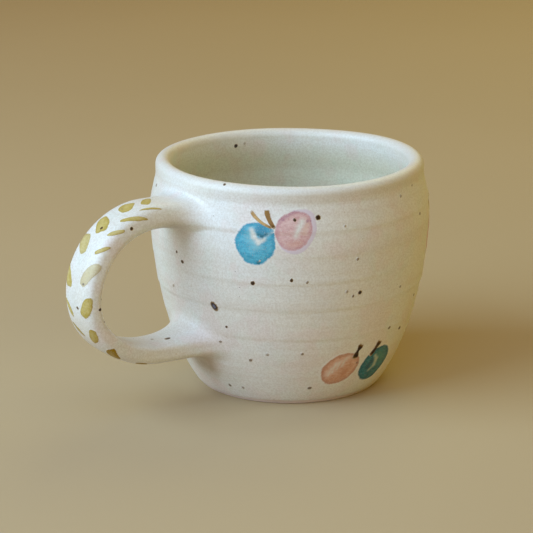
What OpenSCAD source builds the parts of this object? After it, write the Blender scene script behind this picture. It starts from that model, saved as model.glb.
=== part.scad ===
// Hand-thrown stoneware mug with a pulled loop handle, satin glaze and painted fruit.
// Millimetres. The origin is the centre of the foot ring on the resting plane, +Z is up,
// and the handle reaches towards -X. All radii of the outside are taken over the glaze.

/* [Body] */
// Height from the resting plane to the top of the lip
mug_h = 75; // [70:0.5:82]
// Radius at the widest place
belly_r = 45.5; // [43:0.5:48]
// Height of the widest place
belly_z = 55; // [50:0.5:57]
// Radius of the foot's outer edge
foot_r = 30.8; // [28:0.2:33]
// Lean of the wall from upright where it leaves the foot, in degrees
foot_lean = 33; // [28:1:38]
// Radius of the neck, just under the lip
neck_r = 43.6; // [42:0.1:45]
// Height of the neck
neck_z = 70; // [67:0.5:70]
// Thickness of the wall at the belly
wall = 4; // [3:0.1:5]
// Thickness of the rolled lip
lip_t = 4.9; // [4:0.1:5]
// Height of the floor's upper face
floor_z = 6.8; // [6:0.1:9]
// Depth of the hollow inside the foot ring
foot_hollow = 2.4; // [1:0.1:3]
// Width of the foot ring where it rests
foot_ring = 4.2; // [3:0.1:6]

/* [Handle] */
// Reach of the handle's middle line from the mug's axis
handle_reach = 80.6; // [76:0.2:84]
// Height of the middle line where the handle reaches furthest
reach_z = 42; // [39:0.5:46]
// Width of the strap
strap_w = 13.8; // [12:0.2:17]
// Thickness of the strap at the upper root, half way round and at the lower root
strap_t = [8.3, 5.4, 4.9]; // [4:0.1:9]
// Squareness of the strap's section: 2 is an oval, 6 is nearly square
strap_square = 3.5; // [2.5:0.1:5]
// Height of the middle line at the upper and the lower root
root_z = [62.5, 20]; // [15:0.5:66]
// Half width and half height of the upper root where it meets the wall
upper_root = [12.5, 6]; // [5:0.5:14]
// Half width and half height of the lower root where it meets the wall
lower_root = [11, 7.5]; // [5:0.5:14]

/* [Glaze and paint] */
// Thickness of the glaze
glaze_t = 0.35; // [0.2:0.05:0.6]
// Height of the bare band left above the resting plane
glaze_line = 1.2; // [0.8:0.1:3]
// Thickness of the paint at the middle of a mark
paint_t = 0.16; // [0.1:0.02:0.3]
// Thickness of the slip in the handle's joints
slip_t = 0.4; // [0.2:0.1:0.8]

/* [Hidden] */

clay = "#d9cbb8";
slip = "#cfc0ab";
satin_white = "#e8e6e0";
liner_green = "#c8d0cb";
blue = "#3c96b4";
pink = "#c89696";
salmon = "#be8269";
teal = "#2d6e6e";
brown = "#784b19";
gold = "#c8b964";

lip_r = lip_t / 2;
lip_mid = [neck_r - lip_r, mug_h - lip_r];
edge_r = 0.8;          // rounding of the foot's outer edge
foot_pull = 22.4;      // how far the wall keeps its lean above the foot
belly_pull = [6.4, 7.5];   // how far the wall stays upright below and above the belly
neck_pull = 2.8;       // how far the wall stays upright below the neck
lip_pull = 6;          // the same inside, below the lip
inside_pull = [7, 19]; // the same inside, above and below the belly
floor_corner = [9.5, 25];  // how far in from the belly the floor's curve bends, and goes flat
least_step = 0.8;      // least height between a profile's end and its next point

// ---- curves ----

// A point at t, from 0 to 1, on the cubic curve with the four control points p
function curve(p, t) = pow(1 - t, 3) * p[0] + 3 * pow(1 - t, 2) * t * p[1]
    + 3 * (1 - t) * t * t * p[2] + pow(t, 3) * p[3];
function curve_points(p, steps, first = 0) = [for (i = [first:steps]) curve(p, i / steps)];
function arc_points(mid, r, from, to, steps) =
    [for (i = [0:steps]) let (a = from + (to - from) * i / steps) mid + r * [cos(a), sin(a)]];
// A point on a squared oval: square is 2 for an oval and grows as its corners fill out
function oval(a, half, square) = [for (k = [0, 1]) let (v = k == 0 ? cos(a) : sin(a))
    half[k] * sign(v) * pow(abs(v), 2 / square)];

// ---- the wall's profile, as [radius, height] ----

foot_to_belly = [[foot_r, edge_r],
    [foot_r + foot_pull * sin(foot_lean), foot_pull * cos(foot_lean)],
    [belly_r, belly_z - belly_pull[0]], [belly_r, belly_z]];
belly_to_neck = [[belly_r, belly_z], [belly_r, belly_z + belly_pull[1]],
    [neck_r, neck_z - neck_pull], [neck_r, neck_z]];
wall_line = concat(curve_points(foot_to_belly, 16), curve_points(belly_to_neck, 6, 1));
wall_table = [for (p = wall_line) [p[1], p[0]]];
function wall_r(z) = lookup(z, wall_table);

lip_inside = lip_mid - [lip_r, 0];
lip_to_belly = [lip_inside, lip_inside - [0, lip_pull],
    [belly_r - wall, belly_z + inside_pull[0]], [belly_r - wall, belly_z]];
belly_to_floor = [[belly_r - wall, belly_z], [belly_r - wall, belly_z - inside_pull[1]],
    [belly_r - floor_corner[0], floor_z], [belly_r - floor_corner[1], floor_z]];
inside_line = concat(curve_points(lip_to_belly, 6), curve_points(belly_to_floor, 14, 1));

// Moves a profile's points sideways by d, each along its own normal
function normal_at(line, i) = let (a = line[max(i - 1, 0)], b = line[min(i + 1, len(line) - 1)],
    d = (b - a) / norm(b - a)) [d[1], -d[0]];
function moved(line, d) = [for (i = [0:len(line) - 1]) line[i] + d * normal_at(line, i)];

clay_wall = concat([[foot_r - glaze_t, edge_r]],
    [for (p = moved(wall_line, -glaze_t)) if (p[1] > edge_r + least_step) p]);
clay_inside = moved(inside_line, -glaze_t);

// ---- thrown body and its glaze ----

module thrown_body() {
    ring_in = foot_r - edge_r - foot_ring;
    color(clay) rotate_extrude($fn = 96) polygon(concat(
        [[0, foot_hollow], [ring_in - 2, foot_hollow], [ring_in - 0.4, 0.5], [ring_in, 0]],
        arc_points([foot_r - glaze_t - edge_r, edge_r], edge_r, -90, -15, 4),
        clay_wall,
        arc_points(lip_mid, lip_r - glaze_t, 0, 180, 10),
        clay_inside,
        [[0, floor_z - glaze_t]]));
}

module liner_glaze() {
    color(liner_green) rotate_extrude($fn = 96) polygon(concat(
        [lip_inside], inside_line, [[0, floor_z], [0, floor_z - glaze_t]],
        [for (i = [len(clay_inside) - 1:-1:0]) clay_inside[i]],
        [lip_inside + [glaze_t, 0]]));
}

module outer_glaze() {
    covered = [for (p = wall_line) if (p[1] > glaze_line + least_step) p];
    under = [for (p = clay_wall) if (p[1] > glaze_line + least_step) p];
    color(satin_white) difference() {
        rotate_extrude($fn = 96) polygon(concat(
            [[wall_r(glaze_line), glaze_line]], covered,
            arc_points(lip_mid, lip_r, 0, 180, 12),
            arc_points(lip_mid, lip_r - glaze_t, 180, 0, 12),
            [for (i = [len(under) - 1:-1:0]) under[i]],
            [[wall_r(glaze_line) - glaze_t, glaze_line]]));
        root_hole(root_mid_z[0], upper_root);
        root_hole(root_mid_z[1], lower_root);
    }
}

// The place on the wall that a root covers, as a bar through the glaze
module root_hole(z, half) {
    reach = [for (k = [0, 1]) half[k] + glaze_t];
    translate([-1.1 * belly_r, 0, z]) rotate([90, 0, 90]) linear_extrude(height = belly_r)
        polygon([for (i = [0:sides - 1]) oval(360 * i / sides, reach, root_square)]);
}

// ---- handle ----

sides = 24;            // points round the strap's section
flare_part = 0.16;     // share of each half of the strap that flares into its root
root_square = 2.2;     // squareness of the roots' outlines
root_mid_z = root_z + [0.5, -0.5];  // heights of the roots' middles on the wall
upper_pull = [26, 8];  // where the middle line heads as it leaves the upper root
reach_pull = [8.1, 12.2];  // how far it stays upright above and below its furthest place
lower_pull = [32, -3.8];   // where it comes from as it meets the lower root
upper_half = [[wall_r(root_z[0]), root_z[0]], [wall_r(root_z[0]), root_z[0]] + upper_pull,
    [handle_reach, reach_z + reach_pull[0]], [handle_reach, reach_z]];
lower_half = [[handle_reach, reach_z], [handle_reach, reach_z - reach_pull[1]],
    [wall_r(root_z[1]), root_z[1]] + lower_pull, [wall_r(root_z[1]), root_z[1]]];

// q runs from 0 at the upper root to 1 at the lower root; a point is [distance from the axis, z]
function strap_point(q) = q < 0.5 ? curve(upper_half, 2 * q) : curve(lower_half, 2 * q - 1);
function strap_out(q) = let (d = strap_point(min(q + 0.001, 1)) - strap_point(max(q - 0.001, 0)))
    [-d[1], d[0]] / norm(d);
function strap_half_t(q) = lookup(q, [[0, strap_t[0]], [0.5, strap_t[1]], [1, strap_t[2]]]) / 2;

// A ring of the strap, grown by extra all round
function strap_ring(q, extra) = let (m = strap_point(q), out = strap_out(q),
    half = [strap_w / 2 + extra, strap_half_t(q) + extra])
    [for (i = [0:sides - 1]) let (o = oval(360 * i / sides, half, strap_square))
        [-m[0] - out[0] * o[1], o[0], m[1] + out[1] * o[1]]];

// A ring of the root on the wall at distance lift from the clay; up is 1 at the upper root, else -1
function root_ring(z, half, lift, up, share = 1) = [for (i = [0:sides - 1])
    let (o = share * oval(360 * i / sides, half, root_square), h = z + up * o[1],
        r = wall_r(h) - glaze_t + lift)
    [-sqrt(r * r - o[0] * o[0]), o[0], h]];

// The flare: rings between the root (a = 0) and the plain strap (a = 90), on a quarter circle
function flare_ring(a, upper, extra, lift) =
    let (along = flare_part / 2 * (1 - cos(a)), w = 1 - sin(a),
        strap = strap_ring(upper ? along : 1 - along, extra),
        half = [for (k = [0, 1]) (upper ? upper_root : lower_root)[k] + extra],
        root = root_ring(root_mid_z[upper ? 0 : 1], half, lift, upper ? 1 : -1))
    (1 - w) * strap + w * root;

function strap_rings(extra, lift) = concat(
    [for (a = [0:15:75]) flare_ring(a, true, extra, lift)],
    [for (i = [0:18]) strap_ring((flare_part + 2 * (1 - flare_part) * i / 18) / 2, extra)],
    [for (a = [75:-15:0]) flare_ring(a, false, extra, lift)]);

// A closed skin over rings of equal length, with a fan over each end's middle point
module skin(rings, first, last) {
    n = len(rings[0]);
    count = len(rings);
    points = concat([first], [for (r = rings) each r], [last]);
    end = count * n + 1;
    polyhedron(points, concat(
        [for (i = [0:n - 1]) [0, 1 + i, 1 + (i + 1) % n]],
        [for (k = [0:count - 2], i = [0:n - 1]) let (a = 1 + k * n + i, b = 1 + k * n + (i + 1) % n)
            each [[a, a + n, b], [b, a + n, b + n]]],
        [for (i = [0:n - 1]) let (a = 1 + (count - 1) * n) [end, a + (i + 1) % n, a + i]]));
}

// A closed skin over rings whose last one joins the first
module ring_skin(rings) {
    n = len(rings[0]);
    count = len(rings);
    polyhedron([for (r = rings) each r], [for (k = [0:count - 1], i = [0:n - 1])
        let (j = (i + 1) % n, a = k * n + i, b = k * n + j, c = ((k + 1) % count) * n)
        each [[a, c + i, b], [b, c + i, c + j]]]);
}

// The middle point of a root on the wall
function root_mid(z, lift) = [-(wall_r(z) - glaze_t + lift), 0, z];

module pulled_handle() {
    top = root_mid_z[0];
    low = root_mid_z[1];
    color(clay) skin(concat(
        [for (s = [0.35, 0.7]) root_ring(top, upper_root, slip_t, 1, s)],
        strap_rings(0, slip_t),
        [for (s = [0.7, 0.35]) root_ring(low, lower_root, slip_t, -1, s)]),
        root_mid(top, slip_t), root_mid(low, slip_t));
}

module slip_pad(z, half, up) {
    color(slip) skin(concat(
        [for (s = [0.35, 0.7, 1]) root_ring(z, half, 0, up, s)],
        [for (s = [1, 0.7, 0.35]) root_ring(z, half, slip_t, up, s)]),
        root_mid(z, 0), root_mid(z, slip_t));
}

module upper_slip_joint() slip_pad(root_mid_z[0], upper_root, 1);
module lower_slip_joint() slip_pad(root_mid_z[1], lower_root, 1);

module handle_glaze() {
    under = strap_rings(0, 0);
    color(satin_white) ring_skin(concat(strap_rings(glaze_t, 0),
        [for (i = [len(under) - 1:-1:0]) under[i]]));
}

// ---- painted marks on the wall ----

// A point on the glazed wall: angle round the axis, height, and distance out from the glaze
function wall_point(angle, z, out) = let (r = wall_r(z) + out) [r * cos(angle), r * sin(angle), z];

// A brush-laid spot on the wall: size is its width and height, thin at its edge
module spot(angle, z, size, tilt) {
    steps = 20;
    function edge(i, share) = let (a = 360 * i / steps, wave = 1 + 0.03 * sin(3 * a + 40),
        x = share * wave * size[0] / 2 * cos(a), y = share * wave * size[1] / 2 * sin(a),
        u = x * cos(tilt) - y * sin(tilt), v = x * sin(tilt) + y * cos(tilt))
        [angle + u / wall_r(z) * 180 / PI, z + v];
    function ring(share, out) = [for (i = [0:steps - 1]) let (p = edge(i, share))
        wall_point(p[0], p[1], out)];
    skin([ring(0.55, 0), ring(1, 0), ring(1, paint_t / 4), ring(0.85, paint_t), ring(0.5, paint_t)],
        wall_point(angle, z, 0), wall_point(angle, z, paint_t));
}

// A brush line on the wall through three places [angle, height], tapering from width to its half
module stroke(places, width) {
    steps = 6;
    function at(t) = pow(1 - t, 2) * places[0] + 2 * t * (1 - t) * places[1] + t * t * places[2];
    function ring(t) = let (p = at(t), d = at(min(t + 0.05, 1)) - at(max(t - 0.05, 0)),
        deg = 180 / PI / wall_r(p[1]), side = [-d[1] * deg, d[0] / deg],
        half = (1 - t / 2) * width / 2 * sqrt(0.2 + 0.8 * sin(180 * (0.08 + 0.84 * t))),
        s = side * half / norm([side[0] / deg, side[1]]))
        [wall_point(p[0] - s[0], p[1] - s[1], paint_t / 4), wall_point(p[0], p[1], paint_t),
            wall_point(p[0] + s[0], p[1] + s[1], paint_t / 4), wall_point(p[0], p[1], 0)];
    skin([for (i = [0:steps]) ring(i / steps)], mean(ring(0)), mean(ring(1)));
}
function mean(p) = (p[0] + p[1] + p[2] + p[3]) / 4;

// Two stems, each from its [angle, height] top to its foot on a spot
module stems(tops, feet) {
    for (k = [0, 1]) stroke([tops[k], (tops[k] + feet[k]) / 2 + [-0.6, 0.3], feet[k]], 1.1);
}

// A high pair stands at 60 on the wall, a low pair at 12, both seen from outside
high_z = 60;
low_z = 12.8;

module upper_blue_fruit() color(blue) spot(-141.9, 57.6, [12.6, 13.2], 0);
module upper_pink_fruit() color(pink) spot(-126.8, 61.7, [11.4, 11.8], 0);
module upper_stems() color(brown)
    stems([[-144.2, 67.6], [-137.9, 68]], [[-136, 62.4], [-134.2, 62.8]]);

module lower_salmon_fruit() color(salmon) spot(-102.4, 13, [13, 11.6], 20);
module lower_teal_fruit() color(teal) spot(-81.6, 12.4, [14, 12], 20);
module lower_stems() color(brown)
    stems([[-93.6, 20.6], [-81.8, 19.8]], [[-96.4, 16.6], [-87, 16.2]]);

module right_pink_fruit() color(pink) spot(-43.5, high_z - 8, [11.6, 12], 0);
module right_blue_fruit() color(blue) spot(-28.5, high_z - 5, [12.6, 13], 0);
module right_stems() color(brown)
    stems([[-45, high_z + 1.6], [-38, high_z + 2.4]], [[-37, high_z - 3.4], [-35, high_z - 3]]);

module back_salmon_fruit() color(salmon) spot(4, low_z, [13, 11.6], -15);
module back_teal_fruit() color(teal) spot(24.5, low_z + 1.4, [13.6, 12], -15);
module back_stems() color(brown)
    stems([[13, low_z + 8], [24, low_z + 9]], [[10.4, low_z + 4], [19.6, low_z + 5]]);

module rear_blue_fruit() color(blue) spot(83, high_z - 4, [12.6, 13.2], 0);
module rear_pink_fruit() color(pink) spot(98, high_z - 1, [11.4, 11.8], 0);
module rear_stems() color(brown)
    stems([[82, high_z + 6], [88, high_z + 7]], [[89.6, high_z + 0.6], [91.4, high_z + 1.2]]);

// ---- gold dabs on the handle's outer face ----

strap_len = 102;       // length of the strap's middle line, about
// Each dab runs from [q, across] to [q, across] and has a width; across is negative on the -Y side
dabs = [
    [[0.075, 0.8], [0.095, 0.8], 2.4], [[0.107, 4.4], [0.15, 1.6], 2.6],
    [[0.08, -5.8], [0.127, -3.4], 0.8], [[0.125, -6.2], [0.187, -3], 1.3],
    [[0.197, -6.1], [0.245, -3.4], 1.5], [[0.272, -6], [0.308, -3.4], 1.5],
    [[0.19, 4.4], [0.24, -0.2], 3.8], [[0.26, 5.4], [0.32, 2.6], 3.4],
    [[0.33, -5.8], [0.44, -2.2], 2.8], [[0.385, 5.8], [0.455, 3.8], 2.6],
    [[0.515, 6], [0.585, 4], 1.2], [[0.49, -5.6], [0.565, -2.4], 3.2],
    [[0.628, -2.2], [0.68, -3.6], 2.2], [[0.645, 4.8], [0.72, 2.8], 1],
    [[0.715, -5.6], [0.775, -4.4], 2], [[0.8, 2], [0.84, 1], 1.6],
    [[0.83, -5], [0.87, -5], 1.2]];

// A point on the strap's outer face, at distance out from its glaze
function strap_face(q, across, out) = let (m = strap_point(q), n = strap_out(q),
    w = min(abs(across) / (strap_w / 2), 0.97),
    b = strap_half_t(q) * pow(1 - pow(w, strap_square), 1 / strap_square) + glaze_t + out)
    [-m[0] - n[0] * b, across, m[1] + n[1] * b];

module dab(from, to, width) {
    steps = 12;
    mid = (from + to) / 2;
    long = [(to[0] - from[0]) * strap_len, to[1] - from[1]] / 2;
    wide = [-long[1], long[0]] / norm(long) * width / 2;
    function ring(share, out) = [for (i = [0:steps - 1]) let (a = 360 * i / steps,
        p = share * (cos(a) * long + sin(a) * wide))
        strap_face(mid[0] + p[0] / strap_len, mid[1] + p[1], out)];
    skin([ring(1, 0), ring(1, paint_t / 4), ring(0.7, paint_t)],
        strap_face(mid[0], mid[1], 0), strap_face(mid[0], mid[1], paint_t));
}

module gold_dabs() color(gold) for (d = dabs) dab(d[0], d[1], d[2]);

thrown_body();
pulled_handle();
upper_slip_joint();
lower_slip_joint();
liner_glaze();
outer_glaze();
handle_glaze();
upper_blue_fruit();
upper_pink_fruit();
upper_stems();
lower_salmon_fruit();
lower_teal_fruit();
lower_stems();
right_pink_fruit();
right_blue_fruit();
right_stems();
back_salmon_fruit();
back_teal_fruit();
back_stems();
rear_blue_fruit();
rear_pink_fruit();
rear_stems();
gold_dabs();
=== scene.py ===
"""Looks of a hand-thrown stoneware mug: satin glaze, painted fruit, gold dabs and a bare foot.

Lengths are in metres in the CAD's frame: +Z up, the handle towards -X, the origin on the resting
plane. Places round the wall are angles about Z from +X, in degrees.
"""
import math

import bpy
import numpy as np
from mathutils import Matrix, Vector
from mathutils.bvhtree import BVHTree


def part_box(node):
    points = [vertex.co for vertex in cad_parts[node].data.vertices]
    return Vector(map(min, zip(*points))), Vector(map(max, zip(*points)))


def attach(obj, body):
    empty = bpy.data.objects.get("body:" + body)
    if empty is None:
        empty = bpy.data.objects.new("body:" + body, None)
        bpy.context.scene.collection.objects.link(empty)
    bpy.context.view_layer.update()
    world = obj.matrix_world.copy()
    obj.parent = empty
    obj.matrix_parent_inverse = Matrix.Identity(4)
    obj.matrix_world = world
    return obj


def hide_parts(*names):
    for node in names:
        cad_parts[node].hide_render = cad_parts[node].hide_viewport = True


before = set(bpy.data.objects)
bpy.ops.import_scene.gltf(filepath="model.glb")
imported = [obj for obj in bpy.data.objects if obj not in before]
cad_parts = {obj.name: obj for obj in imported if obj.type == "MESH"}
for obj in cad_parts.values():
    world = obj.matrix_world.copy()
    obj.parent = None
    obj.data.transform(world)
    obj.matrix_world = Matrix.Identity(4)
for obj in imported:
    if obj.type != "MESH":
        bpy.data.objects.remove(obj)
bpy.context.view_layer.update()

MM = 0.001
BODY = "root"

# ---------------------------------------------------------------- camera, light and floor

CAMERA_AZIMUTH = -38.7
CAMERA_ELEVATION = 16.47
CAMERA_DISTANCE = 0.70
CAMERA_LENS = 143.0
MUG_MIDDLE = np.array([0.0, 0.0, 36 * MM])
# How far right of the mug's middle and above it the camera aims
AIM_RIGHT = -7.5 * MM
AIM_UP = 1.04 * MM


def direction(azimuth, elevation):
    """The unit vector from the mug towards a viewer at that azimuth and elevation, in degrees."""
    a, e = math.radians(azimuth), math.radians(elevation)
    return np.array([math.sin(a) * math.cos(e), -math.cos(a) * math.cos(e), math.sin(e)])


def aim(obj, place, target):
    """Puts obj at place, looking at target along its own -Z."""
    back = np.array(place, float) - np.array(target, float)
    back /= np.linalg.norm(back)
    right = np.cross([0, 0, 1.0], back)
    right /= np.linalg.norm(right)
    up = np.cross(back, right)
    rows = np.eye(4)
    rows[:3, 0], rows[:3, 1], rows[:3, 2], rows[:3, 3] = right, up, back, place
    obj.matrix_world = Matrix(rows.tolist())


def add_object(name, data):
    obj = bpy.data.objects.new(name, data)
    bpy.context.scene.collection.objects.link(obj)
    return obj


def make_camera():
    data = bpy.data.cameras.new("camera")
    data.lens = CAMERA_LENS
    data.sensor_width = 36
    data.clip_start = 0.01
    data.dof.use_dof = False
    camera = add_object("camera", data)
    back = direction(CAMERA_AZIMUTH, CAMERA_ELEVATION)
    right = np.cross([0, 0, 1.0], back)
    right /= np.linalg.norm(right)
    shift = AIM_RIGHT * right + AIM_UP * np.cross(back, right)
    aim(camera, MUG_MIDDLE + CAMERA_DISTANCE * back, MUG_MIDDLE + shift)
    bpy.context.scene.camera = camera


# Name, azimuth, elevation, power in watts and colour of each soft light: a cool window on the left, the
# sky in it from above and in front, and the room's warm light
LIGHTS = [
    ("window", -105, 35, 14.4, (0.56, 0.79, 1.0)),
    ("sky", -38, 60, 3.0, (0.19, 0.46, 1.0)),
    ("front", -60, 12, 2.8, (0.55, 0.70, 1.0)),
    ("room", 110, 40, 2.8, (0.97, 1.0, 0.49)),
    ("far_room", 20, 30, 1.4, (1.0, 0.91, 0.03)),
]
LIGHT_DISTANCE = 1.1
LIGHT_SIZE = (0.9, 0.8)
AMBIENT = (1.0, 0.49, 0.01, 1)
AMBIENT_STRENGTH = 0.28


def make_lights():
    for name, azimuth, elevation, power, colour in LIGHTS:
        data = bpy.data.lights.new(name, "AREA")
        data.shape = "RECTANGLE"
        data.size, data.size_y = LIGHT_SIZE
        data.energy = power
        data.color = colour
        away = LIGHT_DISTANCE * direction(azimuth, elevation)
        aim(add_object(name, data), MUG_MIDDLE + away, MUG_MIDDLE)
    world = bpy.data.worlds.new("world")
    world.use_nodes = True
    ambient = world.node_tree.nodes["Background"]
    ambient.inputs["Color"].default_value = AMBIENT
    ambient.inputs["Strength"].default_value = AMBIENT_STRENGTH
    bpy.context.scene.world = world
    bpy.context.scene.view_settings.view_transform = "Standard"


# ---------------------------------------------------------------- material nodes

class Tree:
    """Short calls that add nodes to one node tree."""

    def __init__(self, tree):
        self.tree = tree

    def add(self, kind, **values):
        node = self.tree.nodes.new(kind)
        for key, value in values.items():
            setattr(node, key, value)
        return node

    def put(self, socket, value):
        """Links a socket's value, or sets it."""
        if isinstance(value, bpy.types.NodeSocket):
            self.tree.links.new(value, socket)
        elif isinstance(value, tuple) and len(value) == 3 and socket.type == "RGBA":
            socket.default_value = (*value, 1)
        else:
            socket.default_value = value

    def math(self, operation, a, b=0.0, clamp=False):
        node = self.add("ShaderNodeMath", operation=operation, use_clamp=clamp)
        self.put(node.inputs[0], a)
        self.put(node.inputs[1], b)
        return node.outputs[0]

    def times(self, a, b, clamp=False):
        return self.math("MULTIPLY", a, b, clamp)

    def plus(self, a, b):
        return self.math("ADD", a, b)

    def minus(self, a, b):
        return self.math("SUBTRACT", a, b)

    def vector(self, operation, a, b=(0, 0, 0)):
        node = self.add("ShaderNodeVectorMath", operation=operation)
        self.put(node.inputs[0], a)
        self.put(node.inputs[1], b)
        return node.outputs["Value" if operation in ("LENGTH", "DOT_PRODUCT", "DISTANCE") else "Vector"]

    def step(self, value, low, high):
        """Rises smoothly from 0 at low to 1 at high; low may be the larger."""
        node = self.add("ShaderNodeMapRange", interpolation_type="SMOOTHSTEP")
        self.put(node.inputs["Value"], value)
        ends = (low, high, 0.0, 1.0) if low < high else (high, low, 1.0, 0.0)
        for name, end in zip(("From Min", "From Max", "To Min", "To Max"), ends):
            self.put(node.inputs[name], end)
        return node.outputs["Result"]

    def scale(self, value, low, high):
        """Turns 0 to 1 into low to high."""
        node = self.add("ShaderNodeMapRange")
        self.put(node.inputs["Value"], value)
        self.put(node.inputs["To Min"], low)
        self.put(node.inputs["To Max"], high)
        return node.outputs["Result"]

    def mix(self, share, a, b, blend="MIX"):
        node = self.add("ShaderNodeMix", data_type="RGBA", blend_type=blend)
        self.put(node.inputs["Factor"], share)
        self.put(node.inputs[6], a)
        self.put(node.inputs[7], b)
        return node.outputs[2]

    def layer(self, colour, tint, share, value, low, high):
        """Lays this share of the tint over the colour where the value has gone from low to high."""
        return self.mix(self.times(self.step(value, low, high), share), colour, tint)

    def noise(self, place, size, detail=2.0, roughness=0.5):
        """Cloudy values about 0.5, in lumps of about this size in metres."""
        node = self.add("ShaderNodeTexNoise")
        self.put(node.inputs["Vector"], place)
        self.put(node.inputs["Scale"], 1 / size)
        self.put(node.inputs["Detail"], detail)
        self.put(node.inputs["Roughness"], roughness)
        return node.outputs["Fac"]

    def place(self):
        return self.add("ShaderNodeTexCoord").outputs["Object"]

    def stretch(self, place, factors):
        return self.vector("MULTIPLY", place, factors)

    def split(self, vector):
        node = self.add("ShaderNodeSeparateXYZ")
        self.put(node.inputs[0], vector)
        return node.outputs

    def mark(self):
        """The flat place on a painted mark, how far it is from the middle, and the mark's third number."""
        mark = self.add("ShaderNodeAttribute", attribute_name="mark").outputs["Vector"]
        flat = self.stretch(mark, (1, 1, 0))
        return flat, self.vector("LENGTH", flat), self.split(mark)[2]


def specks(tree, place, cell, radius, share):
    """1 inside round specks: one may stand in each cell of this size, in this share of the cells."""
    node = tree.add("ShaderNodeTexVoronoi", feature="F1")
    tree.put(node.inputs["Vector"], place)
    tree.put(node.inputs["Scale"], 1 / cell)
    tree.put(node.inputs["Randomness"], 1.0)
    pick = tree.split(node.outputs["Color"])
    size = tree.scale(pick[1], 0.35 * radius / cell, radius / cell)
    inside = tree.math("LESS_THAN", node.outputs["Distance"], size)
    return tree.times(inside, tree.math("LESS_THAN", pick[0], share))


WARM_WHITE = (0.780, 0.765, 0.700)
COOL_WHITE = (0.765, 0.765, 0.725)
ROSY_WHITE = (0.775, 0.700, 0.650)
GREEN_WHITE = (0.735, 0.760, 0.690)
THIN_GLAZE = (0.700, 0.640, 0.560)
PALE_GRAIN = (0.840, 0.825, 0.780)
# glaze thinned on the lip, also darkened as painted shade
LIP_THIN_GLAZE_AND_SHADE = (0.700, 0.660, 0.560)
# the brown of the painted shade in the folds under the handle's roots
CREASE_SHADE_BROWN = (0.400, 0.300, 0.170)
OCHRE_SPECK = (0.45, 0.30, 0.13)
IRON_SPECK = (0.10, 0.055, 0.030)
# What the fine mottling multiplies the glaze by
DULL_MOTTLE = (0.920, 0.900, 0.870)
PALE_MOTTLE = (1.065, 1.075, 1.085)
# Painted shade in the folds under the handle's two roots, darkened brown: middle and reach, in metres
SHADED_CREASES = [((-0.0515, -0.0040, 0.0590), 0.0088), ((-0.0385, -0.002, 0.0135), 0.011)]


def glaze_group():
    """The satin white glaze, the same at a place whichever piece asks: colour, roughness and height."""
    group = bpy.data.node_groups.new("satin_glaze", "ShaderNodeTree")
    for name, kind in (("Color", "NodeSocketColor"), ("Roughness", "NodeSocketFloat"),
                       ("Height", "NodeSocketFloat")):
        group.interface.new_socket(name=name, in_out="OUTPUT", socket_type=kind)
    t = Tree(group)
    place = t.place()
    up = t.split(place)[2]
    clouds = t.noise(place, 14 * MM, 3)
    patches = t.noise(t.vector("ADD", place, (0.3, 0.1, 0.7)), 6 * MM, 3, 0.55)
    grain = t.noise(place, 0.8 * MM, 2)
    mottle = t.noise(place, 0.6 * MM, 3, 0.75)
    blush = t.noise(t.vector("ADD", place, (0.9, 0.2, 0.4)), 9 * MM, 2)
    streaks = t.noise(t.stretch(place, (0.05, 0.05, 1)), 0.9 * MM, 2)
    bands = t.noise(t.stretch(place, (0.03, 0.03, 1)), 4.5 * MM, 1)
    ochre = specks(t, place, 2.6 * MM, 0.26 * MM, 0.5)
    iron = specks(t, place, 4.4 * MM, 0.24 * MM, 0.5)
    rosy = t.plus(blush, t.times(t.step(up, 40 * MM, 8 * MM), 0.05))
    colour = t.mix(t.step(clouds, 0.38, 0.66), WARM_WHITE, COOL_WHITE)
    colour = t.layer(colour, GREEN_WHITE, 0.55, patches, 0.50, 0.68)
    colour = t.layer(colour, ROSY_WHITE, 0.75, rosy, 0.50, 0.68)
    colour = t.layer(colour, THIN_GLAZE, 0.45, bands, 0.52, 0.70)
    colour = t.layer(colour, THIN_GLAZE, 0.22, streaks, 0.55, 0.75)
    colour = t.layer(colour, PALE_GRAIN, 0.22, grain, 0.58, 0.75)
    colour = t.mix(t.times(ochre, 0.30), colour, OCHRE_SPECK)
    colour = t.mix(t.times(iron, 0.60), colour, IRON_SPECK)
    mottled = t.mix(t.step(mottle, 0.36, 0.64), DULL_MOTTLE, PALE_MOTTLE)
    colour = t.mix(1.0, colour, mottled, "MULTIPLY")
    # the lip's top few mm: glaze thinning at the rim, and painted shade there
    colour = t.layer(colour, LIP_THIN_GLAZE_AND_SHADE, 0.32, up, HEIGHT - 4.5 * MM, HEIGHT - 1.5 * MM)
    # painted shade: the folds under the two roots are darkened brown
    for middle, reach in SHADED_CREASES:
        away = t.vector("DISTANCE", place, middle)
        near = t.times(t.step(away, reach, 0.15 * reach), t.scale(patches, 0.10, 1.0))
        colour = t.mix(near, colour, CREASE_SHADE_BROWN)
    rough = t.scale(t.times(t.plus(clouds, grain), 0.5), 0.34, 0.56)
    fine = t.plus(t.times(grain, 0.016 * MM), t.times(streaks, 0.030 * MM))
    height = t.plus(t.times(patches, 0.10 * MM), fine)
    out = t.add("NodeGroupOutput")
    for name, value in (("Color", colour), ("Roughness", rough), ("Height", height)):
        t.put(out.inputs[name], value)
    return group


def new_material(name, **sockets):
    """A principled material. Values that don't change over the surface are set on its sockets."""
    material = bpy.data.materials.new(name)
    material.use_nodes = True
    shader = material.node_tree.nodes["Principled BSDF"]
    shader.inputs["IOR"].default_value = 1.5
    for key, value in sockets.items():
        shader.inputs[key.replace("_", " ")].default_value = value
    return material, Tree(material.node_tree), shader


def glazed_material(name, **sockets):
    """A material over the shared glaze, and the glaze's own colour, roughness and height."""
    material, t, shader = new_material(name, **sockets)
    return material, t, shader, *t.add("ShaderNodeGroup", node_tree=GLAZE).outputs


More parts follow.
